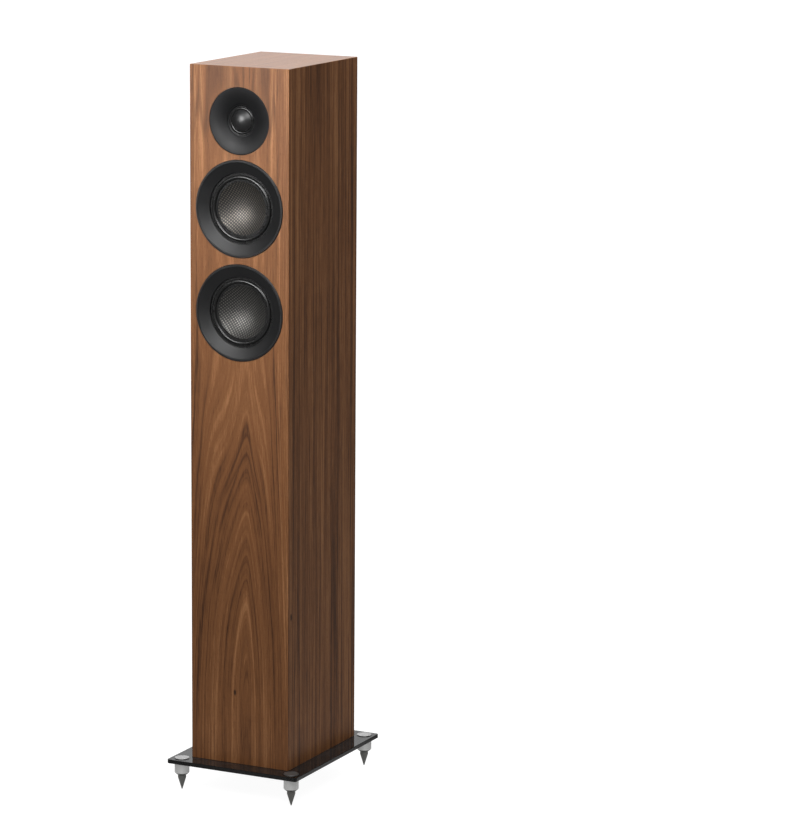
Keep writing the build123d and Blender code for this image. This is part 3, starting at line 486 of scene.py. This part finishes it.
# ---- Materials -------------------------------------------------------------------------
def walnut(name, across, along, seed, contrast=1.0, gloss=0.3, arched=False, knots=()):
    """Veneer on one panel. across and along are 0, 1 or 2 for X, Y or Z."""
    wood = bpy.context.scene.speaker_veneer

    def build(tree, shader):
        point = where(tree)
        side, up = point[across], point[along]
        lines = side
        if arched:
            low, high = CABINET_LOW.z, CABINET_HIGH.z
            lines = use(
                tree,
                "Arched Figure",
                Side=side,
                Up=up,
                Centre=0.012,
                Foot=low + 0.08 * (high - low),
                Head=low + 0.6 * (high - low),
                Rise=0.045,
                Point=0.005,
            )["Across"]
        wobble = noise(tree, 1.7, calc(tree, "MULTIPLY", side, 14.0), calc(tree, "MULTIPLY", up, 5.0), 2.0)
        lines = calc(tree, "ADD", lines, centred(tree, wobble, 0.003))
        grain = use(
            tree,
            "Walnut Grain",
            Across=lines,
            Side=side,
            Along=up,
            Seed=seed,
            Band_Width=wood.band_width,
            Line_Width=wood.line_width,
            Contrast=contrast,
            Light=wood.light,
            Middle=wood.middle,
            Dark=wood.dark,
            Roughness=wood.roughness,
        )
        shade = grain["Color"]
        for knot_side, knot_up, size in knots:
            shade = use(
                tree,
                "Knot",
                Side=side,
                Up=up,
                Knot_Side=knot_side,
                Knot_Up=CABINET_LOW.z + knot_up,
                Size=size,
                Color=shade,
            )["Color"]
        join(tree, shader.inputs["Base Color"], shade)
        join(tree, shader.inputs["Roughness"], grain["Roughness"])
        bump(tree, shader, grain["Height"], 0.00006, 0.5)

    return finish(name, build, IOR=1.48, Specular_IOR_Level=gloss)


def moulded(name, shade, roughness, grain_size=0.0004, dust=0.04, depth=0.00002, **plain):
    """Plastic or rubber with a fine moulded skin."""

    def build(tree, shader):
        sizes = {"Roughness": roughness, "Grain_Size": grain_size, "Dust": dust}
        skin = use(tree, "Moulded Skin", Color=shade, **sizes)
        join(tree, shader.inputs["Base Color"], skin["Color"])
        join(tree, shader.inputs["Roughness"], skin["Roughness"])
        bump(tree, shader, skin["Height"], depth, 0.35)

    return finish(name, build, **plain)


def turned_metal(name, shade, roughness, mark_width=0.0002, depth=0.00001):
    """Metal with lathe marks around the feet's axes."""
    axis = middle_of("rear_right_spike")

    def build(tree, shader):
        marks = use(
            tree,
            "Turned Marks",
            Axis_X=axis.x,
            Axis_Y=axis.y,
            Mark_Width=mark_width,
            Roughness=roughness,
            Color=shade,
        )
        join(tree, shader.inputs["Base Color"], marks["Color"])
        join(tree, shader.inputs["Roughness"], marks["Roughness"])
        bump(tree, shader, marks["Height"], depth, 0.6)

    return finish(name, build, Metallic=1.0)


def plain_metal(name, shade, roughness, scale=900.0):
    """Metal with faint blotches and scratches."""

    def build(tree, shader):
        x, y, z = where(tree)
        x, z = scaled(tree, (x, z), scale)
        scratch = noise(tree, x, calc(tree, "MULTIPLY", y, 60.0), z, 2.0)
        dull = [channel * 0.6 for channel in shade]
        worn = remap(tree, scratch, 0.3, 0.7, 0.0, 0.3)
        join(tree, shader.inputs["Base Color"], mix(tree, worn, shade, dull))
        low, high = roughness - 0.06, roughness + 0.1
        join(tree, shader.inputs["Roughness"], remap(tree, scratch, 0.3, 0.7, low, high))
        bump(tree, shader, scratch, 0.00001, 0.3)

    return finish(name, build, Metallic=1.0)


def woven_dish(name, centre, slant, warmth):
    """Cone of resin-sealed cloth, centred on its driver."""
    look = bpy.context.scene.speaker_driver

    def build(tree, shader):
        x, y, z = where(tree)
        pale = [channel * tint for channel, tint in zip(look.thread, warmth)]
        cloth = use(
            tree,
            "Woven Cloth",
            Side=calc(tree, "SUBTRACT", x, centre.x),
            Up=calc(tree, "SUBTRACT", z, centre.z),
            Slant=slant,
            Thread_Width=look.thread_width,
            Pale=pale,
            Dark=look.back_thread,
        )
        join(tree, shader.inputs["Base Color"], cloth["Color"])
        join(tree, shader.inputs["Roughness"], remap(tree, cloth["Thread"], 0.0, 1.0, 0.45, 0.31))
        join(tree, shader.inputs["Metallic"], calc(tree, "MULTIPLY", cloth["Thread"], 0.85))
        bump(tree, shader, cloth["Height"], 0.0004, 0.6)

    return finish(name, build, Coat_Weight=0.15, Coat_Roughness=0.24)


def fibre(name, shade, size):
    """Cloth-like or felted matter."""

    def build(tree, shader):
        mat = use(tree, "Loose Fibre", Color=shade, Fibre_Size=size)
        join(tree, shader.inputs["Base Color"], mat["Color"])
        bump(tree, shader, mat["Height"], size * 0.25, 0.6)

    return finish(name, build, Roughness=0.95)


def smoked_glass():
    """Grey glass, clear enough to see the floor through, with a few specks of dust on top."""
    look = bpy.context.scene.speaker_plinth

    def build(tree, shader):
        x, y, z = where(tree)
        specks = noise(tree, *scaled(tree, (x, y), 900.0), z, 2.0)
        join(tree, shader.inputs["Roughness"], remap(tree, specks, 0.62, 0.72, 0.015, 0.08))

    return finish("smoked_glass", build, Base_Color=look.glass, Transmission_Weight=1.0, IOR=1.5)


SHARED = {
    "black_screw_steel": lambda name: plain_metal(name, (0.05, 0.05, 0.055), 0.38),
    "woofer_screw_steel": lambda name: plain_metal(name, (0.05, 0.05, 0.055), 0.38),
    "plated_steel": lambda name: plain_metal(name, (0.55, 0.55, 0.52), 0.32),
    "coil_wire": lambda name: plain_metal(name, (0.7, 0.32, 0.16), 0.3, scale=3000.0),
    "ferrite": lambda name: moulded(
        name, (0.05, 0.05, 0.055), 0.62, grain_size=0.0012, dust=0.0, depth=0.00006
    ),
    "nylon": lambda name: moulded(name, (0.62, 0.6, 0.55), 0.5),
}


def shared(name):
    """Material that several operators use, made by the first of them to run."""
    return bpy.data.materials.get(name) or SHARED[name](name)


def dress(material, *nodes):
    """Give a material to CAD nodes."""
    for name in nodes:
        node = frame["nodes"][name]
        node.data.materials.clear()
        node.data.materials.append(material)


# ---- Skins -----------------------------------------------------------------------------
def follow_between(node):
    """Copy of a node's mesh, baked in place, that stands in for the node, which is hidden."""
    source = frame["nodes"][node]
    skin = bpy.data.objects.new(node + "_skin", source.data.copy())
    bpy.context.scene.collection.objects.link(skin)
    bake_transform(skin)
    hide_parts(node)


# ---- Operators ---------------------------------------------------------------------------
class SPEAKER_OT_cabinet(bpy.types.Operator):
    """Veneer the six panels, and finish the braces and the wadding inside"""

    bl_idname = "speaker.cabinet"
    bl_label = "Cabinet"

    def execute(self, context):
        width, depth, height = 0, 1, 2
        # each knot: place across the panel, height above the panel's foot, size
        front_knot = (-0.008, 0.107, 0.0022)
        side_knot = (FRONT_Y + 0.009, 0.228, 0.0026)
        front = walnut("veneer_front", width, height, seed=4.0, contrast=0.9, arched=True, knots=[front_knot])
        dress(front, "front_baffle")
        right = walnut("veneer_right", depth, height, seed=12.0, contrast=1.3, knots=[side_knot])
        dress(right, "right_side_panel")
        dress(walnut("veneer_left", depth, height, seed=31.0, contrast=1.3), "left_side_panel")
        dress(walnut("veneer_rear", width, height, seed=47.0), "rear_panel")
        dress(walnut("veneer_top", width, depth, seed=5.0, contrast=0.7, gloss=0.62), "top_panel")
        dress(walnut("veneer_bottom", width, depth, seed=9.0, contrast=0.7), "bottom_panel")
        dress(fibre("bare_board", (0.42, 0.3, 0.19), size=0.0012), "cabinet_braces")
        dress(fibre("wadding_fibre", (0.85, 0.85, 0.83), size=0.006), "damping_wadding")
        return {"FINISHED"}


class SPEAKER_OT_plinth(bpy.types.Operator):
    """Finish the glass plinth, its fixings and the four feet"""

    bl_idname = "speaker.plinth"
    bl_label = "Plinth and Feet"

    def execute(self, context):
        look = context.scene.speaker_plinth
        dress(smoked_glass(), "glass_plinth")
        dress(turned_metal("satin_aluminium", look.aluminium, 0.45), "foot_collars")
        dress(turned_metal("disc_aluminium", look.disc, 0.5), "foot_discs")
        spikes = [foot + "_spike" for foot in FEET]
        dress(turned_metal("spike_steel", look.steel, 0.28, mark_width=0.0011, depth=0.0004), *spikes)
        dress(shared("black_screw_steel"), "plinth_screws")
        dress(shared("nylon"), "plinth_washers")
        return {"FINISHED"}


class SPEAKER_OT_woofers(bpy.types.Operator):
    """Finish both woofers: rings, surrounds, woven dishes and motors"""

    bl_idname = "speaker.woofers"
    bl_label = "Woofers"

    def execute(self, context):
        look = context.scene.speaker_driver
        ring = moulded("satin_black", look.plastic, 0.39, Specular_IOR_Level=0.45)
        smooth = {"dust": 0.0, "depth": 0.000005}
        rubber = moulded("surround_rubber", look.rubber, 0.27, grain_size=0.0007, **smooth)
        rough = {"grain_size": 0.0009, "dust": 0.0, "depth": 0.00005}
        cast = moulded("cast_frame_coating", (0.02, 0.02, 0.02), 0.5, **rough)
        cloth = fibre("spider_cloth", (0.55, 0.4, 0.2), size=0.0012)
        foam = fibre("gasket_foam", (0.03, 0.03, 0.03), size=0.001)
        slants = {"upper_woofer": radians(9), "lower_woofer": radians(-8)}
        warmths = {"upper_woofer": (1.0, 0.93, 0.85), "lower_woofer": (0.9, 0.92, 0.92)}
        for woofer in WOOFERS:
            dress(ring, woofer + "_trim_ring")
            dress(cast, woofer + "_basket")
            dress(shared("plated_steel"), woofer + "_top_plate", woofer + "_yoke")
            dress(shared("ferrite"), woofer + "_magnet")
            dress(shared("coil_wire"), woofer + "_voice_coil")
            dress(rubber, woofer + "_surround")
            dress(cloth, woofer + "_spider")
            cone, surround, spider = woofer + "_cone", woofer + "_surround", woofer + "_spider"
            dress(woven_dish(woofer + "_dish", middle_of(cone), slants[woofer], warmths[woofer]), cone)
            # in the speaker the outer strip of each is glued down and its inner edge moves with the cone or the
            # coil; here each is only copied into a skin that stands in for its hidden node
            follow_between(surround)
            follow_between(spider)
        dress(foam, "woofer_gaskets")
        dress(shared("woofer_screw_steel"), "woofer_screws")
        return {"FINISHED"}


class SPEAKER_OT_tweeter(bpy.types.Operator):
    """Finish the tweeter: horn, rolled ring, dome and motor"""

    bl_idname = "speaker.tweeter"
    bl_label = "Tweeter"

    def execute(self, context):
        look = context.scene.speaker_driver
        dress(moulded("horn_black", look.plastic, 0.43, Specular_IOR_Level=0.2), "tweeter_faceplate")
        roll_skin = {"grain_size": 0.0005, "dust": 0.0, "depth": 0.000002}
        dress(moulded("tweeter_roll", (0.006, 0.006, 0.006), 0.2, **roll_skin), "tweeter_surround")
        dome_skin = {"grain_size": 0.0006, "dust": 0.0, "depth": 0.000005}
        coat = {"Coat_Weight": 0.3, "Coat_Roughness": 0.38}
        dress(moulded("dome_coating", look.dome, 0.42, **dome_skin, **coat), "tweeter_dome")
        dress(shared("coil_wire"), "tweeter_voice_coil")
        dress(shared("plated_steel"), "tweeter_top_plate", "tweeter_yoke")
        dress(shared("ferrite"), "tweeter_magnet")
        dress(shared("woofer_screw_steel"), "tweeter_screws")
        follow_between("tweeter_surround")
        return {"FINISHED"}


class SPEAKER_OT_rear(bpy.types.Operator):
    """Finish the reflex port, the terminal cup and its binding posts"""

    bl_idname = "speaker.rear"
    bl_label = "Rear Fittings"

    def execute(self, context):
        plastic = moulded("port_plastic", (0.02, 0.02, 0.021), 0.5, grain_size=0.0006)
        dress(plastic, "reflex_port_tube", "terminal_cup")
        gold = plain_metal("gold_plate", (0.83, 0.58, 0.24), 0.2)
        dress(gold, "terminal_posts", "terminal_nuts", "red_clamp_washer", "black_clamp_washer")
        dress(moulded("red_cap", (0.42, 0.012, 0.012), 0.28, Coat_Weight=0.3), "red_terminal_cap")
        dress(moulded("black_cap", (0.012, 0.012, 0.012), 0.28, Coat_Weight=0.3), "black_terminal_cap")
        dress(shared("black_screw_steel"), "rear_panel_screws")
        return {"FINISHED"}


class SPEAKER_OT_crossover(bpy.types.Operator):
    """Finish the crossover board, its parts and the wiring"""

    bl_idname = "speaker.crossover"
    bl_label = "Crossover"

    def execute(self, context):
        dress(moulded("board_lacquer", (0.02, 0.13, 0.06), 0.35, grain_size=0.0015), "crossover_board")
        dress(shared("coil_wire"), "crossover_inductors")
        dress(moulded("capacitor_sleeve", (0.02, 0.04, 0.2), 0.3), "crossover_capacitors")
        ceramic = moulded("resistor_ceramic", (0.75, 0.72, 0.66), 0.8, grain_size=0.001)
        dress(ceramic, "crossover_resistors")
        dress(shared("nylon"), "crossover_spacers")
        dress(moulded("wire_sleeve", (0.3, 0.02, 0.02), 0.4), "internal_wiring")
        return {"FINISHED"}


class SPEAKER_OT_stage(bpy.types.Operator):
    """Set up the pale floor, the soft lights and the camera"""

    bl_idname = "speaker.stage"
    bl_label = "Studio"

    def execute(self, context):
        stage = context.scene.speaker_stage
        lay_floor()
        top_front = (0, FRONT_Y, CABINET_HIGH.z + 0.12)
        drivers = (0, 0, 0.75)
        lid = (0, 0, CABINET_HIGH.z)
        hang_light("key_light", stage.key, (-0.45, -1.75, 1.5), top_front, (1.1, 1.0), radians(41))
        hang_light("fill_light", stage.fill, (1.8, -2.9, 3.4), drivers, (2.0, 2.0))
        hang_light("top_light", stage.top, (-0.2, 0.3, 2.6), lid, (1.2, 1.2))
        light_room(stage.room, stage.backdrop)
        set_camera(stage)
        context.scene.view_settings.view_transform = "Standard"
        return {"FINISHED"}


def lay_floor():
    """White floor that fills the view and keeps a faint shadow. Away from the speaker it throws little light
    back up, but around the plinth it glows for every ray but the camera's: a painted pool of light under the
    glass.
    """
    half = 40.0
    corners = [(-half, -half, 0), (half, -half, 0), (half, half, 0), (-half, half, 0)]
    mesh = bpy.data.meshes.new("studio_floor")
    mesh.from_pydata(corners, [], [(0, 1, 2, 3)])
    floor = bpy.data.objects.new("studio_floor", mesh)
    bpy.context.scene.collection.objects.link(floor)

    def build(tree, shader):
        x, y, z = where(tree)
        cloud = noise(tree, *scaled(tree, (x, y), 2.0), z, 2.0)
        join(tree, shader.inputs["Roughness"], remap(tree, cloud, 0.3, 0.7, 0.85, 0.95))
        seen = tree.nodes.new("ShaderNodeLightPath").outputs["Is Camera Ray"]
        # painted pool of light: the floor glows for rays other than the camera's, strongest near the plinth and
        # fading out further away, so it lights the glass from below
        under_plinth_glow = remap(tree, far_from(tree, x, y), 0.18, 0.36, 0.34, 0.02)
        join(tree, shader.inputs["Emission Strength"], remap(tree, seen, 0.0, 1.0, under_plinth_glow, 0.95, False))

    look = finish("pale_floor", build, Base_Color=(0.16, 0.16, 0.16), Emission_Color=(1, 1, 1))
    mesh.materials.append(look)


def hang_light(name, watts, position, aim, size, spread=pi):
    """Soft rectangular light that the camera doesn't see."""
    lamp = bpy.data.lights.new(name, "AREA")
    lamp.energy = watts
    lamp.spread = spread
    lamp.shape = "RECTANGLE"
    lamp.size, lamp.size_y = size
    holder = bpy.data.objects.new(name, lamp)
    holder.location = position
    holder.rotation_euler = (Vector(aim) - Vector(position)).to_track_quat("-Z", "Y").to_euler()
    holder.visible_camera = False
    bpy.context.scene.collection.objects.link(holder)


def light_room(level, corner):
    """Soft light from all around, brighter in front and brightest in the far left corner."""
    world = bpy.data.worlds.new("studio")
    world.use_nodes = True
    tree = world.node_tree
    direction = tree.nodes.new("ShaderNodeTexCoord").outputs["Generated"]
    x, y, z = place(tree, "ShaderNodeSeparateXYZ", Vector=direction).outputs
    bright = calc(tree, "MULTIPLY", remap(tree, y, 0.1, 0.7), remap(tree, x, 0.15, -0.25))
    bright = calc(tree, "MULTIPLY", bright, remap(tree, z, 0.2, 0.6, 0.27, 3.3))
    glow = calc(tree, "MULTIPLY", remap(tree, y, -0.2, -0.7), remap(tree, z, -0.05, 0.25, 0.0, 0.29))
    bright = calc(tree, "ADD", bright, glow)
    overhead = remap(tree, z, 0.2, 1.0, level, 2.5 * level)
    strength = calc(tree, "ADD", overhead, calc(tree, "MULTIPLY", bright, corner))
    background = tree.nodes["Background"]
    join(tree, background.inputs["Color"], (1, 1, 1))
    join(tree, background.inputs["Strength"], strength)
    bpy.context.scene.world = world


def set_camera(stage):
    """Long lens at a standing eye's height, with the speaker a little left of the view's middle."""
    level = cos(stage.elevation)
    away = Vector((sin(stage.azimuth) * level, -cos(stage.azimuth) * level, sin(stage.elevation)))
    aim = (CABINET_LOW + CABINET_HIGH) / 2
    forward = -away
    right = forward.cross(Vector((0, 0, 1))).normalized()
    up = right.cross(forward)
    turn = Matrix.Rotation(stage.turn, 3, up)
    forward, right = turn @ forward, turn @ right
    tilt = Matrix.Rotation(stage.tilt, 3, right)
    forward, up = tilt @ forward, tilt @ up
    roll = Matrix.Rotation(stage.roll, 3, forward)
    right, up = roll @ right, roll @ up
    camera = bpy.data.cameras.new("camera")
    camera.lens = stage.lens
    camera.sensor_width = 36
    camera.sensor_fit = "AUTO"
    camera.clip_end = 200
    holder = bpy.data.objects.new("camera", camera)
    basis = Matrix((right, up, -forward)).transposed().to_4x4()
    holder.matrix_world = Matrix.Translation(aim + away * stage.distance) @ basis
    bpy.context.scene.collection.objects.link(holder)
    bpy.context.scene.camera = holder


# ---- Panel and registration ------------------------------------------------------------
OPERATORS = (
    SPEAKER_OT_cabinet,
    SPEAKER_OT_plinth,
    SPEAKER_OT_woofers,
    SPEAKER_OT_tweeter,
    SPEAKER_OT_rear,
    SPEAKER_OT_crossover,
    SPEAKER_OT_stage,
)
SETTINGS = {
    "speaker_veneer": VeneerSettings,
    "speaker_driver": DriverSettings,
    "speaker_plinth": PlinthSettings,
    "speaker_stage": StageSettings,
}


class SPEAKER_PT_panel(bpy.types.Panel):
    """Lists the speaker's settings and its operators"""

    bl_idname = "SPEAKER_PT_panel"
    bl_label = "Floorstanding Speaker"
    bl_space_type = "VIEW_3D"
    bl_region_type = "UI"
    bl_category = "Speaker"

    def draw(self, context):
        for attribute, settings in SETTINGS.items():
            box = self.layout.box()
            for setting in settings.__annotations__:
                box.prop(getattr(context.scene, attribute), setting)
        for operator in OPERATORS:
            self.layout.operator(operator.bl_idname)


CLASSES = (*SETTINGS.values(), *OPERATORS, SPEAKER_PT_panel)


def register():
    for cls in CLASSES:
        bpy.utils.register_class(cls)
    for attribute, settings in SETTINGS.items():
        setattr(bpy.types.Scene, attribute, PointerProperty(type=settings))


def unregister():
    for attribute in SETTINGS:
        delattr(bpy.types.Scene, attribute)
    for cls in reversed(CLASSES):
        bpy.utils.unregister_class(cls)


def clear_leftovers():
    """Remove whatever the start-up file holds besides the frame."""
    kept = set(frame["nodes"].values()) | set(frame["bodies"].values())
    for leftover in [obj for obj in bpy.data.objects if obj not in kept]:
        bpy.data.objects.remove(leftover)


def main():
    """Register the add-on and run its operators in order."""
    clear_leftovers()
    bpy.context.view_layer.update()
    register()
    for operator in OPERATORS:
        group_name, operator_name = operator.bl_idname.split(".")
        getattr(getattr(bpy.ops, group_name), operator_name)()


if __name__ == "__main__":
    main()
